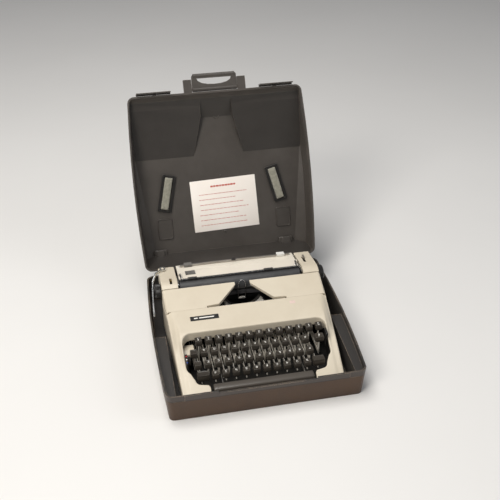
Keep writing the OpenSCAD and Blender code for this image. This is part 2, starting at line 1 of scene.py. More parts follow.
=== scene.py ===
import bpy
import bmesh
import json
import math
import random
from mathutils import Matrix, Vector

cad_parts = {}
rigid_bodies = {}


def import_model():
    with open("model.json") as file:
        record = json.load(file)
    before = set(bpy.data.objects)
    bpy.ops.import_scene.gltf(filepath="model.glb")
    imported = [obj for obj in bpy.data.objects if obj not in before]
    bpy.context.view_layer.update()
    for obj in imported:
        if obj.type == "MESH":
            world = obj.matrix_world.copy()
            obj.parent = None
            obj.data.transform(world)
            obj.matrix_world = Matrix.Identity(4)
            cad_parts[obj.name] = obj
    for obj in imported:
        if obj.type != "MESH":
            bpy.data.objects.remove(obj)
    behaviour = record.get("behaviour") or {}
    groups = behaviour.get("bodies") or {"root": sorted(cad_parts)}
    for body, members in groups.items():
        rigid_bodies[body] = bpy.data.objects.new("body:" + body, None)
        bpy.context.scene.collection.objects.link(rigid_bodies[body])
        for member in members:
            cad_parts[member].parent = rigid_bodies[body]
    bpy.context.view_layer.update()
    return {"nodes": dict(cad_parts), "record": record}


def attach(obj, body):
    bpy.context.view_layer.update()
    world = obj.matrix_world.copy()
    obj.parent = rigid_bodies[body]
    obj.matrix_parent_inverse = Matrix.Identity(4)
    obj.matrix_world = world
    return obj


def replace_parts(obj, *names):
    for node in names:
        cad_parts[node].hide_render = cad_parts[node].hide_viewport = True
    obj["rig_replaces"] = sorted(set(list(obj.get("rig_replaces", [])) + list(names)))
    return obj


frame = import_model()
NODES = frame["nodes"]
MM = 0.001
rng = random.Random(7)


# ---- camera, floor, light --------------------------------------------------

def look():
    cam = bpy.data.cameras.new("camera")
    obj = bpy.data.objects.new("camera", cam)
    bpy.context.scene.collection.objects.link(obj)
    obj.location = (-0.233, -1.172, 1.052)
    obj.rotation_euler = (math.radians(55.28), 0, math.radians(-11.33))
    cam.lens = 57.9
    cam.sensor_width = 36
    bpy.context.scene.camera = obj


def area_light(name, place, target, size, watts, colour):
    lamp = bpy.data.lights.new(name, "AREA")
    lamp.shape = "RECTANGLE"
    lamp.size, lamp.size_y = size
    lamp.energy = watts
    lamp.color = colour
    obj = bpy.data.objects.new(name, lamp)
    obj.location = place
    obj.rotation_euler = (Vector(target) - Vector(place)).to_track_quat("-Z", "Y").to_euler()
    bpy.context.scene.collection.objects.link(obj)


def studio():
    world = bpy.data.worlds.new("studio")
    bpy.context.scene.world = world
    world.use_nodes = True
    back = world.node_tree.nodes["Background"]
    back.inputs["Color"].default_value = (0.92, 0.94, 1.0, 1)
    back.inputs["Strength"].default_value = 0.17
    area_light("top", (-0.5, 0.15, 2.4), (0, 0, 0.05), (1.5, 1.1), 38, (1.0, 0.98, 0.95))
    area_light("key", (-1.5, -1.3, 1.9), (0, 0, 0.1), (1.0, 0.9), 34, (1.0, 0.96, 0.90))
    area_light("fill", (2.0, -0.9, 1.3), (0, 0, 0.1), (1.2, 1.2), 10, (0.96, 0.98, 1.0))
    mesh = bpy.data.meshes.new("floor")
    mesh.from_pydata([(-8, -8, 0), (8, -8, 0), (8, 8, 0), (-8, 8, 0)], [], [(0, 1, 2, 3)])
    floor = bpy.data.objects.new("floor", mesh)
    bpy.context.scene.collection.objects.link(floor)
    mesh.materials.append(floor_material())


# ---- node materials --------------------------------------------------------

class Nodes:
    """Short way to write a node tree."""

    def __init__(self, name):
        self.mat = bpy.data.materials.new(name)
        self.mat.use_nodes = True
        self.tree = self.mat.node_tree
        self.bsdf = self.tree.nodes["Principled BSDF"]
        self.out = self.tree.nodes["Material Output"]
        self.coord = self.tree.nodes.new("ShaderNodeTexCoord")

    def add(self, kind, inputs=None, **props):
        node = self.tree.nodes.new("ShaderNode" + kind)
        for k, v in props.items():
            setattr(node, k, v)
        for k, v in (inputs or {}).items():
            if isinstance(v, bpy.types.NodeSocket):
                self.tree.links.new(v, node.inputs[k])
            else:
                node.inputs[k].default_value = v
        return node

    def scaled(self, sx=1, sy=1, sz=1):
        return self.add("Mapping", {"Vector": self.coord.outputs["Object"], "Scale": (sx, sy, sz)}).outputs[0]

    def noise(self, scale, detail=3, rough=0.5, vector=None):
        n = self.add("TexNoise", {"Vector": vector or self.coord.outputs["Object"], "Scale": scale,
                                  "Detail": detail, "Roughness": rough})
        return n.outputs["Fac"]

    def cells(self, scale, vector=None, feature="F1"):
        n = self.add("TexVoronoi", {"Vector": vector or self.coord.outputs["Object"], "Scale": scale},
                     feature=feature)
        return n.outputs["Distance"]

    def ramp(self, fac, stops, mode="LINEAR"):
        n = self.add("ValToRGB", {"Fac": fac})
        n.color_ramp.interpolation = mode
        e = n.color_ramp.elements
        while len(e) < len(stops):
            e.new(0.5)
        for i, (pos, value) in enumerate(stops):
            e[i].position = pos
            e[i].color = (*value, 1) if isinstance(value, tuple) else (value, value, value, 1)
        return n.outputs["Color"]

    def mix(self, fac, a, b, mode="MIX"):
        n = self.add("Mix", data_type="RGBA", blend_type=mode)
        for i, v in ((0, fac), (6, a), (7, b)):
            if isinstance(v, bpy.types.NodeSocket):
                self.tree.links.new(v, n.inputs[i])
            elif i == 0:
                n.inputs[i].default_value = v
            else:
                n.inputs[i].default_value = (*v, 1)
        return n.outputs[2]

    def math(self, op, a, b=0.0, c=0.0):
        n = self.add("Math", operation=op)
        for i, v in enumerate((a, b, c)):
            if isinstance(v, bpy.types.NodeSocket):
                self.tree.links.new(v, n.inputs[i])
            else:
                n.inputs[i].default_value = v
        return n.outputs[0]

    def edges(self, radius, low=0.02, high=0.2):
        """1 on the object's sharp edges, 0 on its faces."""
        bevel = self.add("Bevel", {"Radius": radius}, samples=4)
        geo = self.add("NewGeometry")
        d = self.add("VectorMath", {0: bevel.outputs[0], 1: geo.outputs["Normal"]}, operation="DOT_PRODUCT")
        away = self.math("SUBTRACT", 1.0, d.outputs["Value"])
        return self.ramp(away, [(low, 0.0), (high, 1.0)])

    def hollows(self, distance, low=0.3, high=0.9):
        """1 deep in corners, 0 in the open."""
        ao = self.add("AmbientOcclusion", {"Distance": distance}, samples=4)
        return self.ramp(ao.outputs["AO"], [(low, 1.0), (high, 0.0)])

    def bump(self, height, strength, distance, normal=None):
        n = self.add("Bump", {"Strength": strength, "Distance": distance, "Height": height})
        if normal:
            self.tree.links.new(normal, n.inputs["Normal"])
        return n.outputs[0]

    def finish(self, colour, rough, normal=None, **fixed):
        for name, v in (("Base Color", colour), ("Roughness", rough), ("Normal", normal)):
            if isinstance(v, bpy.types.NodeSocket):
                self.tree.links.new(v, self.bsdf.inputs[name])
            elif v is not None:
                self.bsdf.inputs[name].default_value = (*v, 1) if isinstance(v, tuple) else v
        for name, v in fixed.items():
            self.bsdf.inputs[name.replace("_", " ")].default_value = v
        return self.mat


def floor_material():
    m = Nodes("pale_floor")
    tone = m.ramp(m.noise(1.3, 4), [(0.3, (0.80, 0.79, 0.77)), (0.7, (0.84, 0.83, 0.81))])
    return m.finish(tone, 0.6, m.bump(m.noise(240, 2), 0.05, 0.0004))


def moulded(name, dark, light, rough, grain, strength, worn=None, wear=0.0, dirt_and_shade=None, dirt_and_shade_amount=0.0, panels=0.0,
            rim=0.0):
    """Moulded plastic: a fine grain, cloudy colour, rubbed edges that double as painted highlights, smeared
    grime, and a corner tint that is painted shade where it is darker than the plastic.
    """
    m = Nodes(name)
    cloud = m.noise(9, 6, 0.6)
    colour = m.mix(m.ramp(cloud, [(0.3, 0.0), (0.7, 1.0)]), dark, light)
    speck = m.noise(700, 2)
    colour = m.mix(m.math("MULTIPLY", speck, 0.16), colour, dark)
    if dirt_and_shade:
        smear = m.noise(22, 5, 0.65)
        amount = m.math("MULTIPLY", m.ramp(smear, [(0.42, 0.0), (0.75, 1.0)]), dirt_and_shade_amount)
        # painted shade: ambient occlusion tints corners and recesses; where the tint is darker than the
        # plastic (case, lid, tray, body) it is shade painted in, on the keys, where it is lighter, it is dust
        deep = m.math("MULTIPLY", m.hollows(0.014), dirt_and_shade_amount * 1.6)
        colour = m.mix(m.math("ADD", amount, deep), colour, dirt_and_shade)
    roughness = m.math("MULTIPLY_ADD", cloud, 0.18, rough - 0.09)
    if panels:
        # painted shade: faces of the lid picked out by their facing, the sloping panels and the hinge-side
        # wall, are darkened as if turned away from the light
        facing = m.add("SeparateXYZ", {"Vector": m.coord.outputs["Normal"]})
        up = m.math("MULTIPLY_ADD", facing.outputs["Z"], 0.5, 0.5)
        front = m.math("MULTIPLY_ADD", facing.outputs["Y"], 0.5, 0.5)
        slope = m.math("MULTIPLY", m.ramp(up, [(0.40, 0.0), (0.44, 1.0), (0.62, 1.0), (0.68, 0.0)]),
                       m.ramp(front, [(0.03, 1.0), (0.12, 0.0)]))
        wall = m.ramp(up, [(0.84, 0.0), (0.92, 1.0)])
        colour = m.mix(m.math("MULTIPLY", m.math("MAXIMUM", slope, wall), panels), colour,
                       tuple(c * 0.25 for c in dark))
    if rim:
        # above the moulded step the rim is greyer than the wall below
        height = m.add("SeparateXYZ", {"Vector": m.coord.outputs["Object"]}).outputs["Z"]
        above = m.ramp(m.math("MULTIPLY", height, 10.0), [(rim * 10 - 0.004, 0.0), (rim * 10 + 0.004, 1.0)])
        line = m.ramp(m.math("MULTIPLY", height, 10.0), [(rim * 10 - 0.014, 0.0), (rim * 10 - 0.004, 1.0),
                                                        (rim * 10 + 0.002, 1.0), (rim * 10 + 0.008, 0.0)])
        colour = m.mix(above, colour, m.mix(0.75, colour, (0.066, 0.060, 0.058)))
        flat = m.add("VectorMath", {0: m.coord.outputs["Object"], 1: (1, 1, 0)},
                     operation="MULTIPLY").outputs[0]
        outward = m.add("VectorMath", {0: flat, 1: m.coord.outputs["Normal"]},
                        operation="DOT_PRODUCT").outputs["Value"]
        inside = m.ramp(m.math("MULTIPLY_ADD", outward, 1.0, 0.2), [(0.2, 1.0), (0.27, 0.0)])
        colour = m.mix(inside, colour, (0.036, 0.0325, 0.030))
        colour = m.mix(m.math("MULTIPLY", line, 0.75), colour, (0.010, 0.009, 0.008))
    if worn:
        # rubbed wear and painted highlight: the sharp edges get a lighter colour that stands both for worn
        # plastic and for the light the edges catch
        chips = m.ramp(m.noise(17, 6, 0.75), [(0.43, 0.0), (0.57, 1.0)])
        edge = m.math("MULTIPLY", m.math("MULTIPLY", m.edges(0.0018), chips), wear)
        colour = m.mix(edge, colour, worn)
    pits = m.math("ADD", m.cells(grain), m.math("MULTIPLY", m.noise(grain * 0.5, 3), 0.6))
    height = m.math("ADD", pits, m.math("MULTIPLY", m.noise(14, 2), 1.5))
    return m.finish(colour, roughness, m.bump(height, strength, 0.0006))


def enamel(name, colour, rough, worn=None, wear=0.0):
    m = Nodes(name)
    tone = m.mix(m.ramp(m.noise(30, 5), [(0.35, 0.0), (0.65, 1.0)]), colour,
                 tuple(c * 0.94 for c in colour))
    if worn:
        chips = m.ramp(m.noise(110, 5, 0.7), [(0.48, 0.0), (0.6, 1.0)])
        tone = m.mix(m.math("MULTIPLY", m.math("MULTIPLY", m.edges(0.0008), chips), wear), tone, worn)
    return m.finish(tone, m.math("MULTIPLY_ADD", m.noise(50, 4), 0.14, rough - 0.07),
                    m.bump(m.noise(260, 3), 0.12, 0.0003))


def metal(name, colour, rough, along="X", stain=None, brushed=1.0, metallic=1.0):
    m = Nodes(name)
    stretch = {"X": (40, 1400, 1400), "Y": (1400, 40, 1400), "Z": (1400, 1400, 40)}[along]
    lines = m.noise(1.0, 4, 0.6, m.scaled(*stretch))
    patches = m.ramp(m.noise(35, 5, 0.65), [(0.4, 0.0), (0.72, 1.0)])
    tone = m.mix(m.math("MULTIPLY", lines, 0.35), colour, tuple(c * 0.7 for c in colour))
    if stain:
        tone = m.mix(m.math("MULTIPLY", patches, 0.55), tone, stain)
    r = m.math("ADD", m.math("MULTIPLY_ADD", lines, 0.16 * brushed, rough - 0.08 * brushed),
               m.math("MULTIPLY", patches, 0.14))
    return m.finish(tone, r, m.bump(lines, 0.18 * brushed, 0.0002), Metallic=metallic)


def rubber(name, colour, rough=0.72, scuff=0.05):
    m = Nodes(name)
    rub = m.ramp(m.noise(45, 6, 0.7), [(0.45, 0.0), (0.75, 1.0)])
    tone = m.mix(rub, colour, tuple(c + scuff for c in colour))
    return m.finish(tone, m.math("MULTIPLY_ADD", rub, 0.15, rough - 0.05),
                    m.bump(m.noise(900, 3), 0.25, 0.0003))


def felt_material():
    m = Nodes("pressed_felt")
    fibres = m.noise(1.0, 5, 0.7, m.scaled(900, 160, 700))
    tufts = m.noise(160, 4, 0.65)
    tone = m.mix(m.ramp(tufts, [(0.3, 0.0), (0.7, 1.0)]), (0.17, 0.165, 0.13), (0.33, 0.315, 0.25))
    tone = m.mix(m.math("MULTIPLY", fibres, 0.4), tone, (0.40, 0.385, 0.32))
    height = m.math("ADD", fibres, m.math("MULTIPLY", tufts, 1.6))
    return m.finish(tone, 0.95, m.bump(height, 0.8, 0.0012), Sheen_Weight=0.35)


def card_material():
    m = Nodes("printed_card")
    pulp = m.noise(500, 4, 0.6)
    tone = m.mix(m.ramp(m.noise(12, 5), [(0.35, 0.0), (0.7, 1.0)]), (0.90, 0.83, 0.76), (0.95, 0.90, 0.84))
    tone = m.mix(m.math("MULTIPLY", pulp, 0.12), tone, (0.66, 0.55, 0.44))
    return m.finish(tone, 0.62, m.bump(pulp, 0.12, 0.0002))


def ink_material(name, colour):
    m = Nodes(name)
    wear = m.ramp(m.noise(900, 4, 0.7), [(0.35, 0.0), (0.75, 1.0)])
    return m.finish(m.mix(m.math("MULTIPLY", wear, 0.35), colour, tuple(min(1, c * 1.25) for c in colour)),
                    0.6, m.bump(wear, 0.1, 0.0001))


def clear_material():
    m = Nodes("smoked_clear")
    haze = m.noise(60, 5, 0.6)
    tone = m.ramp(haze, [(0.3, (0.30, 0.315, 0.34)), (0.7, (0.40, 0.415, 0.44))])
    mat = m.finish(tone, m.math("MULTIPLY_ADD", haze, 0.2, 0.1), m.bump(haze, 0.05, 0.0003),
                   Alpha=0.8, IOR=1.49)
    return mat


def ribbon_material():
    m = Nodes("inked_ribbon")
    weave = m.add("TexWave", {"Vector": m.coord.outputs["Object"], "Scale": 900.0, "Distortion": 1.0})
    return m.finish(m.mix(weave.outputs["Fac"], (0.012, 0.012, 0.014), (0.04, 0.038, 0.045)), 0.8,
                    m.bump(weave.outputs["Fac"], 0.4, 0.0002), Sheen_Weight=0.2)


MATS = {
    "case_plastic": moulded("case_plastic", (0.058, 0.0505, 0.044), (0.077, 0.0685, 0.0605), 0.36, 900, 0.35,
                            (0.20, 0.165, 0.13), 0.4, (0.030, 0.026, 0.022), 0.25),
    # panels=0.62 paints shade onto the lid's sloping panels and hinge-side wall
    "lid_plastic": moulded("lid_plastic", (0.064, 0.0555, 0.048), (0.084, 0.0745, 0.066), 0.36, 900, 0.35,
                           (0.20, 0.165, 0.13), 0.4, (0.030, 0.026, 0.022), 0.25, panels=0.62),
    # the tray's light tan edge colour is rubbed wear and a painted edge highlight
    "tray_plastic": moulded("tray_plastic", (0.060, 0.0275, 0.0105), (0.086, 0.043, 0.019), 0.46, 900, 0.45,
                            (0.40, 0.30, 0.21), 0.9, (0.026, 0.019, 0.014), 0.3, rim=0.0475),
    "body_plastic": moulded("body_plastic", (0.66, 0.585, 0.46), (0.71, 0.64, 0.515), 0.40, 1500, 0.1,
                            (0.82, 0.76, 0.64), 0.4, (0.42, 0.35, 0.25), 0.12),
    "table_paint": enamel("table_paint", (0.80, 0.74, 0.635), 0.34, (0.35, 0.30, 0.24), 0.6),
    "black_paint": enamel("black_paint", (0.014, 0.013, 0.012), 0.42, (0.16, 0.14, 0.12), 0.7),
    "nameplate": enamel("nameplate_black", (0.008, 0.0075, 0.007), 0.5),
    "rubber": rubber("rubber", (0.022, 0.021, 0.02)),
    "platen_rubber": rubber("platen_rubber", (0.040, 0.040, 0.042), 0.5, 0.03),
    "steel": metal("steel", (0.52, 0.50, 0.47), 0.36, "X", (0.28, 0.22, 0.16)),
    "chrome": metal("chrome", (0.66, 0.66, 0.65), 0.22, "Y", None, 0.2),
    "brass": metal("brass", (0.62, 0.45, 0.17), 0.32, "Z", (0.2, 0.14, 0.07)),
    "felt": felt_material(),
    "card": card_material(),
    "ribbon_cloth": ribbon_material(),
    "spool_plastic": moulded("spool_plastic", (0.05, 0.047, 0.043), (0.09, 0.085, 0.078), 0.45, 1200, 0.1),
    "clear_plastic": clear_material(),
    "knob_plastic": moulded("knob_plastic", (0.012, 0.011, 0.011), (0.022, 0.021, 0.02), 0.3, 1500, 0.06,
                            (0.10, 0.095, 0.085), 0.5),
    "bail_paint": enamel("bail_paint", (0.03, 0.032, 0.037), 0.3, (0.3, 0.3, 0.3), 0.5),
    "bar_plastic": moulded("bar_plastic", (0.076, 0.066, 0.056), (0.100, 0.088, 0.075), 0.3, 1500, 0.07,
                           (0.2, 0.18, 0.15), 0.6),
    "stop_grey": moulded("stop_grey", (0.12, 0.115, 0.105), (0.19, 0.18, 0.165), 0.5, 1300, 0.15),
    "stop_white": moulded("stop_white", (0.66, 0.65, 0.61), (0.78, 0.77, 0.73), 0.32, 1500, 0.06),
    "key_plastic": moulded("key_plastic", (0.036, 0.030, 0.024), (0.054, 0.046, 0.037), 0.27, 1600, 0.08,
                           (0.20, 0.185, 0.16), 0.7, (0.085, 0.074, 0.058), 0.3),
}
# painted reflection: the type slugs and their rest are near-white and almost non-metallic, standing in for
# the shine of polished steel
TYPE_METAL = metal("type_metal", (0.90, 0.88, 0.83), 0.42, "Y", (0.50, 0.38, 0.28), 0.6, 0.1)
REST_METAL = metal("rest_metal", (0.95, 0.94, 0.91), 0.4, "X", None, 0.6, 0.05)
# painted shadow: colour for the band of shade inside the type basket
BASKET_SHADOW_BROWN = enamel("basket_shadow_brown", (0.30, 0.17, 0.11), 0.5)
LEGEND = ink_material("legend_ink", (0.88, 0.86, 0.79))
# painted highlight: the steel key levers get a near-white, almost non-metallic colour so their stems look
# brightly lit
STEM = metal("key_stem", (0.90, 0.86, 0.77), 0.4, "Z", (0.6, 0.5, 0.4), 0.5, 0.1)
STICKER = ink_material("sticker_paper", (0.72, 0.56, 0.50))
PRINT = ink_material("card_ink", (0.50, 0.085, 0.055))


# ---- mesh tools ------------------------------------------------------------

def smooth_by_angle(mesh, degrees=38):
    bm = bmesh.new()
    bm.from_mesh(mesh)
    for f in bm.faces:
        f.smooth = True
    for e in bm.edges:
        e.smooth = not (len(e.link_faces) == 2 and e.calc_face_angle(0) > math.radians(degrees))
    bm.to_mesh(mesh)
    bm.free()


def place(name, mesh, material, body, slot, hides=()):
    """A new piece on a body."""
    obj = bpy.data.objects.new(name, mesh)
    bpy.context.scene.collection.objects.link(obj)
    mesh.materials.clear()
    mesh.materials.append(MATS[material] if isinstance(material, str) else material)
    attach(obj, body)
    if hides:
        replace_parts(obj, *hides)
    return obj


def soften(obj, width, segments=3, degrees=32):
    mod = obj.modifiers.new("edges", "BEVEL")
    mod.width = width * MM
    mod.segments = segments
    mod.limit_method = "ANGLE"
    mod.angle_limit = math.radians(degrees)
    mod.miter_outer = "MITER_ARC"
    mod.use_clamp_overlap = True
    normal = obj.modifiers.new("normals", "WEIGHTED_NORMAL")
    normal.keep_sharp = True
    for f in obj.data.polygons:
        f.use_smooth = True
    return obj


def cad_copy(node, merge=0.9):
    """The CAD node's surface as clean flat faces, in a new mesh."""
    bm = bmesh.new()
    bm.from_mesh(NODES[node].data)
    bmesh.ops.remove_doubles(bm, verts=bm.verts, dist=2e-6)
    if merge:
        bmesh.ops.dissolve_limit(bm, angle_limit=math.radians(merge), verts=bm.verts, edges=bm.edges)
    mesh = bpy.data.meshes.new(node + "_shape")
    bm.to_mesh(mesh)
    bm.free()
    return mesh


SLOT = {s["node"]: s["material_slot"] for s in frame["record"]["subparts"]}
BODY = {n: b for b, ns in frame["record"]["behaviour"]["bodies"].items() for n in ns}


def refine(node, width, segments=3, material=None):
    """The CAD node with its edges rounded."""
    obj = place(node + "_piece", cad_copy(node), material or SLOT[node], BODY[node], SLOT[node], [node])
    return soften(obj, width, segments)


# ---- building shapes, in millimetres ----------------------------------------

def lerp(a, b, t):
    return a + (b - a) * t


def step(lo, hi, v):
    t = min(1.0, max(0.0, (v - lo) / (hi - lo)))
    return t * t * (3 - 2 * t)


def along(table, v):
    """Straight lines between the points of a table."""
    for (a, fa), (b, fb) in zip(table, table[1:]):
        if v <= b:
            return lerp(fa, fb, max(0.0, (v - a) / (b - a)))
    return table[-1][1]


class Shape:
    """Collects vertices and faces, in millimetres."""

    def __init__(self):
        self.verts = []
        self.faces = []

    def ring_stack(self, rings, closed_rings=True, cap=True, wrap=False):
        """Joins rings of equally many points with quads."""
        n = len(rings[0])
        base = len(self.verts)
        for ring in rings:
            self.verts += [tuple(p) for p in ring]
        m = len(rings)
        for j in range(m if wrap else m - 1):
            k = (j + 1) % m
            for i in range(n if closed_rings else n - 1):
                h = (i + 1) % n
                self.faces.append((base + j * n + i, base + j * n + h, base + k * n + h, base + k * n + i))
        if cap and not wrap:
            self.faces.append(tuple(base + i for i in reversed(range(n))))
            self.faces.append(tuple(base + (m - 1) * n + i for i in range(n)))
        return self

    def prism(self, outline, lo, hi, axis):
        """An outline pushed along x, y or z from lo to hi."""
        def at(p, v):
            return {"x": (v, p[0], p[1]), "y": (p[0], v, p[1]), "z": (p[0], p[1], v)}[axis]
        return self.ring_stack([[at(p, lo) for p in outline], [at(p, hi) for p in outline]])

    def box(self, lo, hi):
        return self.prism([(lo[0], lo[1]), (hi[0], lo[1]), (hi[0], hi[1]), (lo[0], hi[1])], lo[2], hi[2], "z")

    def lathe(self, profile, centre, axis="x", steps=48, dent=None):
        """Turns (along, radius) points about an axis through centre."""
        rings = []
        for u, r in profile:
            ring = []
            for i in range(steps):
                a = 2 * math.pi * i / steps
                rr = r * (dent(a, u) if dent else 1)
                c, d = rr * math.cos(a), rr * math.sin(a)
                ring.append({"x": (centre[0] + u, centre[1] + c, centre[2] + d),
                             "z": (centre[0] + c, centre[1] + d, centre[2] + u)}[axis])
            rings.append(ring)
        return self.ring_stack(rings)

    def rod(self, path, r, steps=10):
        """A round wire along a path."""
        rings = []
        for i, p in enumerate(path):
            p = Vector(p)
            before = Vector(path[max(0, i - 1)])
            after = Vector(path[min(len(path) - 1, i + 1)])
            d = (after - before).normalized()
            side = d.cross(Vector((0.31, 0.17, 0.93))).normalized()
            up = d.cross(side)
            radius = r[i] if isinstance(r, (list, tuple)) else r
            rings.append([p + radius * (math.cos(t) * side + math.sin(t) * up)
                          for t in [2 * math.pi * k / steps for k in range(steps)]])
        return self.ring_stack(rings)

    def moved(self, fn):
        self.verts = [tuple(fn(*v)) for v in self.verts]
        return self

    def mesh(self, name, degrees=38):
        mesh = bpy.data.meshes.new(name)
        mesh.from_pydata([[c * MM for c in v] for v in self.verts], [], self.faces)
        bm = bmesh.new()
        bm.from_mesh(mesh)
        bmesh.ops.recalc_face_normals(bm, faces=bm.faces)
        bm.to_mesh(mesh)
        bm.free()
        smooth_by_angle(mesh, degrees)
        return mesh

    def piece(self, name, material, body, slot, hides=(), angle=38):
        """Makes the shape a new piece on a body."""
        return place(name, self.mesh(name, angle), material, body, slot, hides)


def round_rect(w, d, r, cx=0.0, cy=0.0, per=5):
    pts = []
    for k, (sx, sy) in enumerate(((1, 1), (-1, 1), (-1, -1), (1, -1))):
        for i in range(per):
            a = math.pi / 2 * (k + i / (per - 1))
            pts.append((cx + sx * (w / 2 - r) + r * math.cos(a), cy + sy * (d / 2 - r) + r * math.sin(a)))
    return pts


# ---- case ----------------------------------------------------------------

HALF_D = 178.5
CORNER = 14
LID_Z = 60.4
HINGE = (182.8, 63.1)
OPEN = math.radians(-118.6)
ROOF_SLOPE = 26 / 277


def swing(x, y, z):
    """A point of the closed lid, where the open lid has it."""
    dy, dz = y - HINGE[0], z - HINGE[1]
    c, s = math.cos(OPEN), math.sin(OPEN)
    return x, HINGE[0] + dy * c - dz * s, HINGE[1] + dy * s + dz * c


def on_roof(cx, cy, spin):
    """Maps a flat drawing against the lid's roof: x and y along it, z away from it, down into the lid."""
    tilt, turn = math.atan(ROOF_SLOPE), math.radians(spin)

    def fn(x, y, z):
        x, y = x * math.cos(turn) - y * math.sin(turn), x * math.sin(turn) + y * math.cos(turn)
        y, z = y * math.cos(tilt) - z * math.sin(tilt), y * math.sin(tilt) + z * math.cos(tilt)
        return swing(cx + x, cy + y, LID_Z + 60 - (150 - cy) * ROOF_SLOPE + z)
    return fn


def side_x(y):
    return 180 + 7 * (1 - (y / HALF_D) ** 2)


def case_ring(inset, z):
    """The case's outline, inset, as points at height z."""
    pts = []
    r = max(1.0, CORNER - inset)
    cy = HALF_D - CORNER
    cx = side_x(cy) - CORNER
    grow = CORNER - r - inset
    for sx, sy in ((1, 1), (-1, 1), (-1, -1), (1, -1)):
        for i in range(9):
            a = math.pi / 2 * (i if sx * sy > 0 else 8 - i) / 8
            pts.append((sx * (cx + grow + r * math.cos(a)), sy * (cy + grow + r * math.sin(a)), z))
        if sx * sy < 0:
            pts += [(sx * (side_x(y) - inset), y, z) for y in range(-120 * sx, 121 * sx, 40 * sx)]
    return pts


def build_case():
    refine("case_tray", 1.3, 3, material="tray_plastic")
    soften(place("case_lid_piece", cad_copy("case_lid", 0), "lid_plastic", "lid", "case_plastic",
                 ["case_lid"]), 1.0, 3)
    refine("carry_handle", 1.2, 3)
    barrel = Shape().lathe([(-46, 1.8), (-46, 3.8), (-45.4, 4.3), (45.4, 4.3), (46, 3.8), (46, 1.8)],
                           (0, -183.5, LID_Z + 6), "x", 28)
    barrel.moved(swing).piece("handle_barrel", "case_plastic", "handle", "case_plastic")
    for side in ("left", "right"):
        refine("latch_" + side, 0.5, 2)
    refine("hinge_pins", 0.3, 2)
    # raised lip just inside the lid's rim
    lip = Shape().ring_stack([case_ring(2.9, LID_Z + 4.5), case_ring(4.6, LID_Z + 4.8),
                              case_ring(4.9, LID_Z + 5.5),
                              case_ring(4.9, LID_Z + 7.5), case_ring(2.9, LID_Z + 9)], cap=False, wrap=True)
    lip.moved(swing).piece("lid_lip", "case_plastic", "lid", "case_plastic")
    build_lid_details()
    build_felt_pads()
    build_card()


def build_lid_details():
    """A round boss, small bumps, panels and a dark plug in the roof, and two brackets at the hinge side."""
    boss = Shape()
    boss.lathe([(0.4, 6.2), (-0.8, 6.2), (-1.5, 5.6), (-1.5, 4.4), (-0.7, 4.1), (-0.7, 0.3)], (0, 0, 0), "z",
               32)
    boss.moved(on_roof(1, -130, 0)).piece("lid_boss", "case_plastic", "lid", "case_plastic")
    for k, cy in enumerate((-4, 116)):
        bump = Shape().lathe([(0.4, 2.6), (-0.6, 2.5), (-1.2, 2.0), (-1.5, 1.0), (-1.55, 0.1)], (0, 0, 0),
                             "z", 20)
        bump.moved(on_roof(0, cy, 0)).piece("lid_bump_%d" % k, "case_plastic", "lid", "case_plastic")
    for name, cx, cy, w, d in (("left", -127.5, 98, 29, 42), ("right", 129.5, 97, 29, 40)):
        panel = Shape()
        rings = [round_rect(w + 3, d + 3, 5), round_rect(w + 2.6, d + 2.6, 5),
                 round_rect(w + 1.2, d + 1.2, 4.6),
                 round_rect(w - 0.4, d - 0.4, 3.9), round_rect(w - 1.2, d - 1.2, 3.6)]
        panel.ring_stack([[(x, y, z) for x, y in ring] for ring,
                          z in zip(rings, (0.4, -1.2, -2.0, -1.9, -0.9))])
        panel.moved(on_roof(cx, cy, 0)).piece("lid_panel_" + name, "case_plastic", "lid", "case_plastic")
    plug = Shape().lathe([(0.4, 2.4), (-0.5, 2.3), (-0.7, 1.6), (-0.2, 1.3), (-0.2, 0.1)], (0, 0, 0), "z", 20)
    plug.moved(lambda x, y, z: swing(99 + x, -112 + y, LID_Z + 26.8 + z))
    plug.piece("lid_plug", "knob_plastic", "lid", "knob_plastic")
    for name, x0, x1 in (("left", -157, -130), ("right", 116, 146)):
        block = Shape()
        for a, b, z in ((x0, x1, 114), (x0 + 5, x1 - 5, 110)):
            cx, w = (a + b) / 2, b - a
            rings = [round_rect(w, 22, 3, cx, 153, 4), round_rect(w, 22, 3, cx, 153, 4),
                     round_rect(w - 2, 20, 2.4, cx, 153, 4)]
            block.ring_stack([[swing(x, y, h) for x, y in ring] for ring, h in zip(rings, (121.5, z + 1, z))])
        block.piece("lid_bracket_" + name, "case_plastic", "lid", "case_plastic")


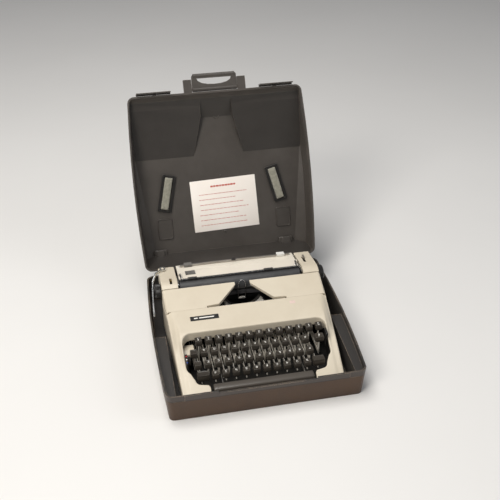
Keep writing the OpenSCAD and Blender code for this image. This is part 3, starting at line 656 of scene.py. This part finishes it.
def build_felt_pads():
    """Soft crowned blocks, one left and one right, each in a frame."""
    for name, sx in (("left", -1), ("right", 1)):
        pad = Shape()
        rings = []
        for z, grow in ((0.05, -0.6), (-0.8, -0.1), (-3.2, 0.0), (-5.0, -0.3), (-5.9, -1.0), (-6.3, -2.6)):
            ring = []
            for x, y in round_rect(16 + 2 * grow, 68 + 2 * grow, 1.6, per=4):
                ring.append((x + 0.25 * math.sin(y * 0.21 + z), y,
                             z + (0.35 * math.sin(y * 0.13 + sx) if z < -5 else 0)))
            rings.append(ring)
        pad.ring_stack(rings, cap=False)
        top = len(pad.verts) - 16
        for g in (0.66, 0.33):
            ring = [(x * g, y * (0.55 + 0.45 * g), -6.45 + 0.3 * math.sin(y * 0.13 + sx)) for x, y,
                    z in pad.verts[top:top + 16]]
            base = len(pad.verts)
            pad.verts += ring
            for i in range(16):
                h = (i + 1) % 16
                pad.faces.append((base - 16 + i, base - 16 + h, base + h, base + i))
        pad.faces.append(tuple(range(len(pad.verts) - 16, len(pad.verts))))
        pad.faces.append(tuple(reversed(range(16))))
        turn = on_roof(118, 23, -13.5)
        pad.moved(turn).moved(lambda x, y, z: (sx * x, y, z))
        obj = pad.piece("felt_pad_" + name, "felt", "lid", "felt", ["lid_pads"] if sx < 0 else [], angle=50)
        well = Shape()
        frame_rings = ((28.4, 78.4, 2.5, 0.5), (28.4, 78.4, 2.5, -3.8), (27.2, 77.2, 2, -4.5),
                       (21, 73, 1, -4.5),
                       (19.6, 71.6, 0.8, -3.4), (19.4, 71.4, 0.8, 0.5))
        well.ring_stack([[(x, y, z) for x, y in round_rect(w, d, r)] for w, d, r, z in frame_rings],
                        cap=False, wrap=True)
        well.moved(turn).moved(lambda x, y, z: (sx * x, y, z))
        well.piece("pad_well_" + name, "black_paint", "lid", "black_paint")


def build_card():
    """The card in the lid: bars stand for its printed lines."""
    turn = on_roof(4, 56.5, -1.4)
    card = Shape()
    rings = []
    for grow, z in ((-0.3, -0.1), (0, -0.2), (0, -0.52), (-0.3, -0.6)):
        rings.append([(x, y, z) for x, y in round_rect(141 + grow, 110 + grow, 1.2, per=6)])
    card.ring_stack(rings)
    card.moved(turn).piece("reference_card_piece", "card", "lid", "card", ["reference_card"])
    ink = Shape()

    def word(x0, x1, y, h):
        ink.box((x0, y - h / 2, -0.68), (x1, y + h / 2, -0.58))
    x = -27
    while x < 26:
        w = rng.uniform(4, 7)
        word(x, min(x + w, 27), -40, 3.6)
        x += w + 1.2
    for row in range(7):
        y = -24 + row * 11
        x, end = -56 + rng.uniform(0, 6), 52 - rng.uniform(0, 34)
        while x < end:
            w = rng.uniform(3, 9)
            word(x, min(x + w, end), y, 1.1)
            x += w + 1.4
    ink.moved(turn).piece("card_print", PRINT, "lid", "card")


# ---- covers of the machine -------------------------------------------------

RIDGE = [(-152.5, 24), (-149, 28), (-98, 48), (-61, 61), (-20, 74.5), (17, 84), (72.5, 99)]


def half_width(y):
    return along([(-152.5, 146), (-149.5, 149), (73, 158.5), (155, 153.5), (158, 150.5)], y)


def hood(y):
    return lerp(82.45, 89.5, (y + 42) / 58.8)


def top_z(x, y):
    """Height of the body's top skin."""
    low = along(RIDGE, y)
    side = half_width(y) - abs(x)
    plane = 89.5 - 0.2 * (17.1 - y)
    outer = lerp(low, min(plane, hood(y)), step(0.5, 11, side) * step(-75, -40, y))
    inner = hood(y) if y > -42 else low + 1.6 + (82.45 - along(RIDGE, -42) - 1.6) * step(-92, -42, y)
    qx, qy = abs(x) - (half_width(y) - 15 - 20), y - (17.1 - 20)
    sd = math.hypot(max(qx, 0), max(qy, 0)) - 20 + min(max(qx, qy), 0)
    return lerp(inner, outer, step(-1.5, 5.5, sd))


def recess_stations():
    """Pairs of plan points: on the recess's edge, and on the body's edge. Right half, back to front."""
    w = half_width
    out = []

    def run(p0, q0, p1, q1, n):
        for i in range(n):
            t = i / n
            out.append(((lerp(p0[0], p1[0], t), lerp(p0[1], p1[1], t)),
                        (lerp(q0[0], q1[0], t), lerp(q0[1], q1[1], t))))

    def arc(cx, cy, r, a0, a1, qs, n):
        for i in range(n):
            t = i / n
            a = math.radians(lerp(a0, a1, t))
            u = t * (len(qs) - 1)
            k = min(int(u), len(qs) - 2)
            q = (lerp(qs[k][0], qs[k + 1][0], u - k), lerp(qs[k][1], qs[k + 1][1], u - k))
            out.append(((cx + r * math.cos(a), cy + r * math.sin(a)), q))
    run((0, -42), (0, 17.15), (118, -42), (126, 17.15), 26)
    arc(118, -60, 18, 90, 0, [(126, 17.15), (w(17.15), 17.15), (w(-50), -50)], 18)
    run((136, -60), (w(-50), -50), (135, -96), (w(-96), -96), 10)
    arc(121, -97, 14, 3, -55, [(w(-96), -96), (w(-118), -118)], 7)
    run((129, -108.5), (w(-118), -118), (121.5, -123), (w(-136), -136), 6)
    arc(112, -121.5, 10, -9, -82, [(w(-136), -136), (149, -149.5), (146, -152.5)], 7)
    run((113.4, -131.4), (146, -152.5), (100, -133.5), (114, -152.5), 4)
    run((100, -133.5), (114, -152.5), (97.5, -136.5), (105, -152.5), 3)
    run((97, -138), (104, -152.5), (97, -149), (98, -152.5), 3)
    run((96, -150), (96, -152.5), (0, -150), (0, -152.5), 12)
    out.append(((0, -150), (0, -152.5)))
    return out


# height of the body's lower edge
BODY_FOOT = 13.05


def build_body_front():
    """The skin round the keyboard, lofted round the recess."""
    half = recess_stations()
    stations = half + [((-p[0], p[1]), (-q[0], q[1])) for p, q in reversed(half[1:-1])]
    wall = 2.4
    rings = []
    for p, q in stations:
        dx, dy = q[0] - p[0], q[1] - p[1]
        length = math.hypot(dx, dy)
        ux, uy = dx / length, dy / length
        back = q[1] > 16.8 and abs(q[0]) < 157.0
        r_in, r_out = min(2.2, 0.35 * length), min(3.2, 0.4 * length)
        if q[1] > 16.8:
            r_out = 0.2
        w = min(wall, 0.42 * length)
        deep = lerp(6, 17.6, step(-75, -50, p[1]))

        def at(s, z=None, drop=0.0):
            x, y = p[0] + ux * s, p[1] + uy * s
            return (x, y, (top_z(x, y) if z is None else z) - drop)
        edge = at(0)[2]
        foot = at(length)[2] - wall if back else BODY_FOOT
        loop = [at(0, edge - deep)]
        loop += [at(r_in * (1 - math.sin(a)), None, r_in * (1 - math.cos(a)))
                 for a in [math.pi / 2 * k / 4 for k in (4, 3, 2, 1)]]
        count = 16
        loop += [at(lerp(r_in, length - r_out, k / count)) for k in range(count + 1)]
        loop += [at(length - r_out * (1 - math.sin(a)), None, r_out * (1 - math.cos(a)))
                 for a in [math.pi / 2 * k / 4 for k in (1, 2, 3, 4)]]
        loop.append(at(length, foot))
        loop.append(at(length - w, foot))
        loop += [at(lerp(length - w, w, k / 10), None, w + 0.6) for k in range(11)]
        loop.append(at(w, edge - deep))
        rings.append(loop)
    mesh = Shape().ring_stack(rings, cap=False, wrap=True).mesh("body_front", 50)
    place("body_front", mesh, "body_plastic", "machine", "body_plastic", ["body_shell"])


def build_body_rear():
    """The body behind the front skin, cut from the CAD shell."""
    rear = cad_copy("body_shell")
    bm = bmesh.new()
    bm.from_mesh(rear)
    bmesh.ops.bisect_plane(bm, geom=bm.verts[:] + bm.edges[:] + bm.faces[:], plane_co=(0, 17.0 * MM, 0),
                           plane_no=(0, 1, 0), clear_inner=True)
    edges = [e for e in bm.edges if len(e.link_faces) == 1]
    bmesh.ops.holes_fill(bm, edges=edges)
    bm.to_mesh(rear)
    bm.free()
    soften(place("body_rear", rear, "body_plastic", "machine", "body_plastic"), 1.0, 2)


def build_small_controls():
    """The recess's corner left of the number row, the ribbon selector and the lever on the right."""
    x0, x1, y0, y1 = -135.2, -114.6, -67, -44
    shelf = Shape()
    shelf.ring_stack([[(x, y, z + (y - y0) * 0.16)
                       for x, y in round_rect(x1 - x0 + g, y1 - y0 + g, 2.4, (x0 + x1) / 2, (y0 + y1) / 2, 4)]
                      for g, z in ((0, 44), (0, 51.2), (-0.6, 52), (-1.8, 52.4))])
    shelf.piece("recess_corner_left", "body_plastic", "machine", "body_plastic", angle=50)
    housing = Shape()
    housing.ring_stack([[(x, y, z + (y + 89) * 0.35) for x, y in round_rect(4.2 + g, 21 + g, 1.6, -132.6,
            -88.5)]
                        for g, z in ((0, 34), (0, 60), (-0.5, 61), (-1.4, 61.4))])
    housing.piece("selector_housing", "knob_plastic", "machine", "body_plastic", angle=45)
    for name, y, colour in (("blue", -95.0, (0.03, 0.07, 0.35)), ("white", -89.0, (0.8, 0.79, 0.75)),
                            ("red", -83.0, (0.55, 0.03, 0.03))):
        dot = Shape().lathe([(-0.3, 1.45), (0.15, 1.4), (0.4, 1.0), (0.45, 0.1)],
                            (-132.6, y, 61.5 + (y + 89) * 0.35), "z", 20)
        dot.piece("dot_" + name, ink_material("dot_" + name, colour), "machine", "body_plastic")
    lever = Shape()
    lever.ring_stack([[(x, y, z) for x, y in round_rect(w, d, r, 133.0, -70)] for w, d, r, z in
                      ((3.4, 16, 1.5, 40), (3.4, 16, 1.5, 60), (4.6, 19, 2.1, 62), (4.8, 19.6, 2.2, 67),
                       (4.4, 19, 2.0, 69.4),
                       (3.6, 17, 1.6, 70.2))])
    lever.piece("side_lever", "knob_plastic", "machine", "body_plastic", angle=45)


def build_covers():
    """The lifting cover, the flange that hangs from the edge of its opening, and the end covers."""
    for name, sx in (("left", -1), ("right", 1)):
        flange = Shape()
        path = [(76, 22.6), (56, 24.2), (53, 25.6), (17.4, 66), (16.3, 70)]
        rings = []
        for i, (x, y) in enumerate(path):
            a, b = path[max(i - 1, 0)], path[min(i + 1, len(path) - 1)]
            dx, dy = b[0] - a[0], b[1] - a[1]
            n = math.hypot(dx, dy)
            nx, ny = -dy / n, dx / n
            top = 89.5 + (y - 17.1) * 11 / 55.3 - 0.5
            rings.append([(sx * (x + nx * t), y + ny * t, z) for t, z in
                          ((-0.7, top - 6.6), (-0.7, top), (0.5, top), (0.7, top - 0.4), (0.7, top - 6.2),
                           (0.4, top - 6.6))])
        flange.ring_stack(rings)
        flange.piece("vee_flange_" + name, "body_plastic", "ribbon_cover", "body_plastic", angle=60)
    build_rounded("ribbon_cover", lambda a, b: min(abs(a.x), abs(b.x)) > 0.1555 and min(a.z, b.z) > 0.088,
                  5.0, 0.4)
    for side in ("left", "right"):
        build_rounded("end_cover_" + side,
                      lambda a, b: min(abs(a.x), abs(b.x)) > 0.1572 and min(a.z, b.z) > 0.091
                      and max(a.z, b.z) > 0.0925 and a.y < 0.158, 5.0, 0.7)


def build_rounded(node, chosen, radius, rest):
    """The CAD node with chosen edges well rounded and the others lightly."""
    mesh = cad_copy(node)
    bm = bmesh.new()
    bm.from_mesh(mesh)
    edges = [e for e in bm.edges if len(e.link_faces) == 2 and e.calc_face_angle(0) > math.radians(20)
             and chosen(e.verts[0].co, e.verts[1].co)]
    if edges:
        bmesh.ops.bevel(bm, geom=edges, offset=radius * MM, segments=5, profile=0.5, affect="EDGES",
                        clamp_overlap=True)
    bm.to_mesh(mesh)
    bm.free()
    obj = place(node + "_piece", mesh, SLOT[node], BODY[node], SLOT[node], [node])
    return soften(obj, rest, 2, 36)


# ---- keys -----------------------------------------------------------------

def cap_shape(shape, x, y, z, w, d=13.4, tall=12.0):
    """A key cap with a dished top, a sloping front and a skirt that narrows at its foot."""
    # height below the top, shrink in width, shrink in depth, shift to the front, corner radius
    table = [(-tall, 3.6, 3.4, -0.2, 2.6), (-tall + 0.4, 2.4, 2.4, -0.4, 2.8),
             (-tall + 1.6, 1.1, 1.2, -0.6, 2.8),
             (-tall + 3.4, 0.2, 0.4, -0.8, 2.4), (-4.5, 0.0, 0.2, -0.7, 2.0), (-1.2, 0.7, 1.0, -0.15, 1.8),
             (-0.5, 0.9, 1.2, -0.05, 1.7), (-0.12, 1.3, 1.6, 0.0, 1.6), (0.0, 1.9, 2.2, 0.0, 1.4),
             (-0.12, 2.6, 3.0, 0.0, 1.3), (-0.5, 5.0, 5.4, 0.0, 1.0), (-0.7, 8.0, 8.4, 0.0, 0.8)]
    rings = [[(x + px, y + py + sy, z + h) for px, py in round_rect(w - sw, d - sd,
            min(r, (d - sd) / 2 - 0.05), per=6)]
             for h, sw, sd, sy, r in table]
    shape.ring_stack(rings)


def legend(shape, x, y, z, double):
    """A small generic mark made of a few strokes."""
    size = 1.45 if double else 2.0
    spots = [(-0.2, 1.9), (-0.2, -1.7)] if double else [(0, 0.7)]
    for cx, cy in spots:
        strokes = rng.sample([(-1, -1, -1, 1), (1, -1, 1, 1), (-1, 1, 1, 1), (-1, -1, 1, -1), (-1, 0, 1, 0),
                              (0, -1, 0, 1)], 2 if double else 3)
        for x0, y0, x1, y1 in strokes:
            t = 0.33
            lo = (x + cx + min(x0, x1) * size * 0.62 - t, y + cy + min(y0, y1) * size - t, z - 0.45)
            hi = (x + cx + max(x0, x1) * size * 0.62 + t, y + cy + max(y0, y1) * size + t, z - 0.02)
            shape.box(lo, hi)


def lever_shape(shape, x, y, top):
    """Flat lever from the pivot rod with its upright stem."""
    lz = 26 + (88 - y) * 0.0099
    ring = [(88 + 4.5 * math.cos(a), 26 + 4.5 * math.sin(a)) for a in
            [math.radians(v) for v in range(-50, 51, 10)]]
    outline = ring + [(80, 29.2), (y + 2.2, lz + 3), (y + 1.6, lz + 5), (y + 1.4, top), (y - 1.4, top),
                      (y - 1.6, lz + 5), (y - 2.2, lz - 2.6), (y - 1.2, lz - 3.2), (80, 22.8)]
    shape.prism(outline, x - 0.6, x + 0.6, "x")
    shape.prism([(y + 1.9, lz - 2.2), (y + 1.5, top), (y - 1.7, top), (y - 2.5, lz - 3.4),
                 (y - 1.4, lz - 3.9)], x - 0.95, x + 0.95, "x")


def build_key(node, spots, mark=None, wide=13.4, tall=12.0, lever_dx=0.0):
    caps, levers, marks = Shape(), Shape(), Shape()
    for i, (x, y, z) in enumerate(spots):
        cap_shape(caps, x, y, z, wide, tall=tall)
        lever_shape(levers, x + lever_dx, y, z - 11)
        if mark:
            legend(marks, x, y, z, mark == "double")
    body = BODY[node]
    caps.piece(node + "_caps", "key_plastic", body, "key_plastic", [node], angle=42)
    levers.piece(node + "_levers", STEM, body, "key_plastic")
    if mark:
        marks.piece(node + "_marks", LEGEND, body, "key_plastic")


def build_keys():
    rows_x, rows_y, rows_z = (-106.5, -99, -94.5, -84.5), (-58, -77, -96, -115), (79, 67.5, 55.5, 44.5)

    pitch = 19

    def row(k, n):
        return [(rows_x[k] + pitch * i, rows_y[k], rows_z[k]) for i in range(n)]
    build_key("number_keys", row(0, 13), "double")
    build_key("upper_letter_keys", row(1, 11), "single")
    build_key("lower_letter_keys", row(3, 10), "single")
    for i, spot in enumerate(row(2, 11)):
        build_key("home_key_%02d" % (i + 1), [spot], "single")
    build_key("tab_key", [(-118, -77, 67.5)])
    build_key("backspace_key", [(118, -77, 67.5)], "double", 17)
    build_key("shift_lock", [(-113.5, -96, 55.5)])
    build_key("shift_left", [(-107, -115, 47.5)], None, 23, 15.6, -2.9)
    build_key("shift_right", [(107.5, -115, 47.5)], None, 22, 15.6, -0.6)
    # space bar: a long soft-edged bar on two levers
    bar = Shape()
    rings = []
    for x, f in ((-92, 0.72), (-91.6, 0.86), (-90.6, 0.96), (-88, 1.0), (88, 1.0), (90.6, 0.96), (91.6, 0.86),
                 (92, 0.72)):
        pts = [(-7.3, 0.4), (-7.8, 1.2), (-7.9, 4.6), (-7.6, 6.6), (-6.6, 7.9), (-5.0, 8.6), (5.4, 9.5),
               (6.8, 9.0),
               (7.7, 7.4), (7.9, 5.6), (7.9, 1.2), (7.4, 0.4)]
        rings.append([(x, -141.3 + py * f, 27.4 + 5 + (pz - 5) * f) for py, pz in pts])
    bar.ring_stack(rings)
    bar.piece("space_bar_piece", "bar_plastic", "space_bar", "key_plastic", ["space_bar"], angle=45)
    arms = Shape()
    for x in (-73.3, 78.6):
        arms.prism([(92, 27), (88, 30.5), (80, 29.2), (-137, 31), (-137.5, 33), (-142, 33), (-142.5, 27.4),
                    (-139, 25.4),
                    (80, 22.8), (88, 21.5), (92, 25)], x - 0.6, x + 0.6, "x")
    arms.piece("space_bar_arms", "steel", "space_bar", "key_plastic")


# ---- type basket ------------------------------------------------------------

def basket(x, y, z):
    """From the type basket's own frame, whose origin is the print point."""
    t = math.radians(-15)
    return x, 71 + y * math.cos(t) - z * math.sin(t), 88.9 + y * math.sin(t) + z * math.cos(t)


def type_bar(shape, turn):
    """One type bar at rest: a tapering arm and a slug with two raised faces."""
    bar = Shape()
    bar.prism([(-0.2, -48), (-4, -48.1), (-30, -47.6), (-44.2, -47.3), (-44.2, -44.4), (-30, -45),
               (-8, -43.9), (-0.2, -44)],
              -0.5, 0.5, "x")
    bar.prism([(-47.4, -47.6), (-43, -47.6), (-43, -42.6), (-43.6, -42.1), (-46.8, -42.1), (-47.4, -42.8)],
              -0.9, 0.9, "x")
    for y in (-46.3, -44.2):
        bar.box((-0.6, y - 0.55, -42.15), (0.6, y + 0.55, -41.6))
    c, d = math.cos(turn), math.sin(turn)
    bar.moved(lambda x, y, z: basket(x * c + z * d, y, -x * d + z * c))
    base = len(shape.verts)
    shape.verts += bar.verts
    shape.faces += [tuple(i + base for i in f) for f in bar.faces]


def arc_plate(shape, r0, r1, y0, y1, half, steps=48):
    """A curved plate in the basket's frame, between two radii and two depths."""
    rings = []
    for i in range(steps + 1):
        a = math.radians(lerp(-half, half, i / steps))
        rings.append([basket(r * math.sin(a), y, -r * math.cos(a)) for r,
                      y in ((r0, y0), (r1, y0), (r1, y1), (r0, y1))])
    return shape.ring_stack(rings)


def build_basket():
    bars = Shape()
    for i in range(43):
        if i != 21:
            type_bar(bars, math.radians(54 * (2 * i / 42 - 1)))
    bars.piece("type_bars", TYPE_METAL, "type_basket", "steel", ["typebars"], angle=30)
    one = Shape()
    type_bar(one, 0)
    one.piece("type_bar_h", TYPE_METAL, "typebar_h", "steel", ["typebar_h"], angle=30)
    refine("segment", 0.4, 2)
    rest = arc_plate(Shape(), 48.6, 49.4, -46.5, -36, 55)
    rest.piece("slug_rest", REST_METAL, "type_basket", "steel")
    # painted shadow: a brown arc sheet, not felt, laid where the type bars' shade falls inside the basket
    felt = arc_plate(Shape(), 40.2, 41.2, -41.8, -33, 55)
    felt.piece("rest_band", BASKET_SHADOW_BROWN, "type_basket", "steel")
    guide = Shape()
    guide.rod([(-7.4, 73.2, 57.5), (-7.4, 73.2, 80), (-7.4, 73.2, 93.8), (-6.2, 73.2, 97.6),
               (-3.9, 73.2, 101.4), (-2, 73.2, 102.3),
               (2, 73.2, 102.3), (3.9, 73.2, 101.4), (6.2, 73.2, 97.6), (7.4, 73.2, 93.8), (7.4, 73.2,
                       80), (7.4, 73.2, 57.5)],
              0.62, 10)
    stem = Shape()
    for x in (-7.4, 7.4):
        stem.lathe([(0, 0.3), (0, 0.95), (27.6, 0.95), (28, 0.3)], (x, 73.2, 58), "z", 12)
    stem.piece("vibrator_stem", "black_paint", "ribbon_vibrator", "steel")
    guide.prism([(-8.1, 57.2), (8.1, 57.2), (8.1, 61), (6.2, 62.4), (-6.2, 62.4), (-8.1, 61)], 72.7, 73.7,
                "y")
    guide.piece("vibrator_wire", "chrome", "ribbon_vibrator", "steel", ["ribbon_vibrator"])


# ---- carriage ---------------------------------------------------------------

# slope of the body's top under the nameplate and the sticker, in degrees
PLATE_TILT = 6.8


def build_bail():
    """A dark strip with a scale, on two arms, with two rollers."""
    bail, ticks = Shape(), Shape()
    bail.prism([(93, 104.0), (93.3, 104.7), (96.7, 104.8), (97, 104.4), (97, 104.0)], -117.7, 117.7, "x")
    for sx in (-1, 1):
        lo, hi = sorted((sx * 116.2, sx * 117.8))
        bail.prism([(93, 104), (93, 105.6), (104, 106.6), (111, 106.7), (113.6, 105.9), (114, 104.6),
                    (113.2, 103), (111, 102.7),
                    (99, 104)], lo, hi, "x")
        bail.lathe([(0, 1.15), (2.6, 1.15), (2.8, 0.8)] if sx > 0 else [(0, 1.15), (-2.6, 1.15), (-2.8, 0.8)],
                   (sx * 117.5, 112, 104.6), "x", 16)
    for i in range(-45, 46):
        deep = 1.5 if i % 5 == 0 else 0.8
        ticks.box((i * 2.54 - 0.16, 93.4, 104.72), (i * 2.54 + 0.16, 93.4 + deep, 104.86))
    bail.piece("paper_bail_piece", "bail_paint", "paper_bail", "bail_paint", ["paper_bail"])
    ticks.piece("bail_scale", LEGEND, "paper_bail", "bail_paint")
    rolls = Shape()
    for x in (-95, 58):
        rolls.lathe([(-9, 1.6), (-9, 2.4), (-8.4, 2.8), (-5, 2.8), (-4.8, 2.6), (-4.2, 2.6), (-4, 2.8),
                     (4, 2.8), (4.2, 2.6),
                     (4.8, 2.6), (5, 2.8), (8.4, 2.8), (9, 2.4), (9, 1.6)], (x, 95, 105.1), "x", 24)
    rolls.piece("bail_rollers", "rubber", "paper_bail", "bail_paint")


def build_paper_table():
    """The paper table's fold lines, screws and springs."""
    refine("paper_table", 0.5, 2)
    trim = Shape()
    slope = -9 / 58.5

    def table_z(y):
        return 103.5 + (y - 98) * slope
    for y in (131.5, 141):
        trim.prism([(y - 0.5, table_z(y) - 0.3), (y - 0.3, table_z(y) + 0.28), (y + 0.3, table_z(y) + 0.28),
                    (y + 0.5, table_z(y) - 0.3)], -112, 117, "x")
    trim.piece("table_ribs", "table_paint", "carriage", "table_paint")
    screws = Shape()
    for sx in (-1, 1):
        for y in (104, 150):
            screws.lathe([(-0.3, 1.9), (0.35, 1.9), (0.7, 1.4), (0.75, 0.4), (0.4, 0.3)],
                         (sx * 115, y, table_z(y)), "z", 16)
        screws.rod([(sx * 123.6, 83, 98.9), (sx * 123.6, 92, 99.4), (sx * 123.6, 106, 99.0),
                    (sx * 123.4, 116, 98.2)], 0.9, 8)
        screws.lathe([(-1.2, 0.6), (-1.2, 2.2), (1.0, 2.2), (1.0, 0.6)], (sx * 123.6, 84, 99.6), "x", 16)
        coil = [(sx * 123.6 + 1.3 * math.cos(t * 0.9), 94 + t * 0.22,
                 100.1 + 1.3 * math.sin(t * 0.9)) for t in range(0, 60)]
        screws.rod(coil, 0.28, 6)
    screws.piece("carriage_small_parts", "chrome", "carriage", "chrome")


def build_margin_rail():
    """The rail with its scale and pointer, and the dark floors of the end covers' slots."""
    teeth = Shape()
    for i in range(-44, 45):
        teeth.box((i * 2.54 - 0.14, 147.6, 99.85), (i * 2.54 + 0.14, 149 if i % 5 else 150.2, 100.05))
    refine("margin_rail", 0.3, 2)
    teeth.piece("margin_scale", "black_paint", "carriage", "steel")
    pointer = Shape()
    pointer.ring_stack([[(x - 3, y + 149, z) for x, y in ring] for ring, z in
                        zip((round_rect(9, 7, 2), round_rect(9, 7, 2), round_rect(7.6, 5.6, 1.6)),
                            (99.9, 101.6, 102.3))])
    pointer.piece("centre_pointer", "knob_plastic", "carriage", "black_paint")
    for name, lo, hi in (("left", (-140.3, 83.2, 96.5), (-135.7, 102.8, 97.5)),
                         ("right", (135.7, 108.2, 93.5), (140.3, 133.8, 94.5))):
        dark = Shape().box(lo, hi)
        dark.piece("slot_floor_" + name, "black_paint", "carriage", "black_paint")


def build_knobs():
    """Platen knobs with fine ribs all round and a dished face."""
    for name, sx in (("left", -1), ("right", 1)):
        def ribs(a, u):
            return 1 + (0.018 * math.cos(40 * a) if 1.4 < abs(u) < 10.2 else 0)
        knob = Shape().lathe([(sx * u, r) for u, r in ((0, 4.2), (0, 13), (0.5, 14), (1.3, 14.4), (1.6, 14.7),
                                                       (10, 14.7), (10.3, 14.4),
                              (11.2, 13.9), (11.7, 12.8), (11.4, 10.5), (10.6, 9.6), (10.6, 4), (11,
                                      3.6), (11, 0.4))],
                             (sx * 158.3, 92, 84.5), "x", 160, ribs)
        knob.piece("platen_knob_%s_piece" % name, "knob_plastic", "platen", "knob_plastic",
                   ["platen_knob_" + name], angle=30)


def build_plates():
    """The plain sticker, and the nameplate, blank but for two plain bars."""
    tilt = math.radians(PLATE_TILT)
    tag = Shape()
    tag.ring_stack([[(x, y, z) for x, y in round_rect(11 + g, 7.5 + g, 2)] for g,
                    z in ((0, -0.05), (0, 0.1), (-0.4, 0.18))])
    tag.moved(lambda x, y, z: (86 + x, 4 + y * math.cos(tilt), 88.0 + y * math.sin(tilt) + z))
    tag.piece("plain_sticker", STICKER, "machine", "nameplate")
    refine("nameplate", 0.25, 2, material="nameplate")
    bar = Shape()
    for x0, x1 in ((-20, -13), (-10, 18)):
        bar.box((x0, -1.3, 0.78), (x1, 1.3, 0.9))
    bar.moved(lambda x, y, z: (-87 + x, -8 + y * math.cos(tilt) - z * math.sin(tilt),
                               86.57 + y * math.sin(tilt) + z * math.cos(tilt)))
    bar.piece("nameplate_bars", LEGEND, "machine", "nameplate")


bpy.context.scene.view_settings.view_transform = "Standard"
look()
studio()
build_case()
build_body_front()
build_body_rear()
build_small_controls()
build_covers()
build_keys()
build_basket()
build_bail()
build_paper_table()
build_margin_rail()
build_knobs()
build_plates()
refine("carriage_frame", 0.4, 2, material="black_paint")
DONE = set()
for piece in bpy.data.objects:
    DONE |= set(piece.get("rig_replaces", []))
for node in NODES:
    if node not in DONE:
        refine(node, 0.25, 2)
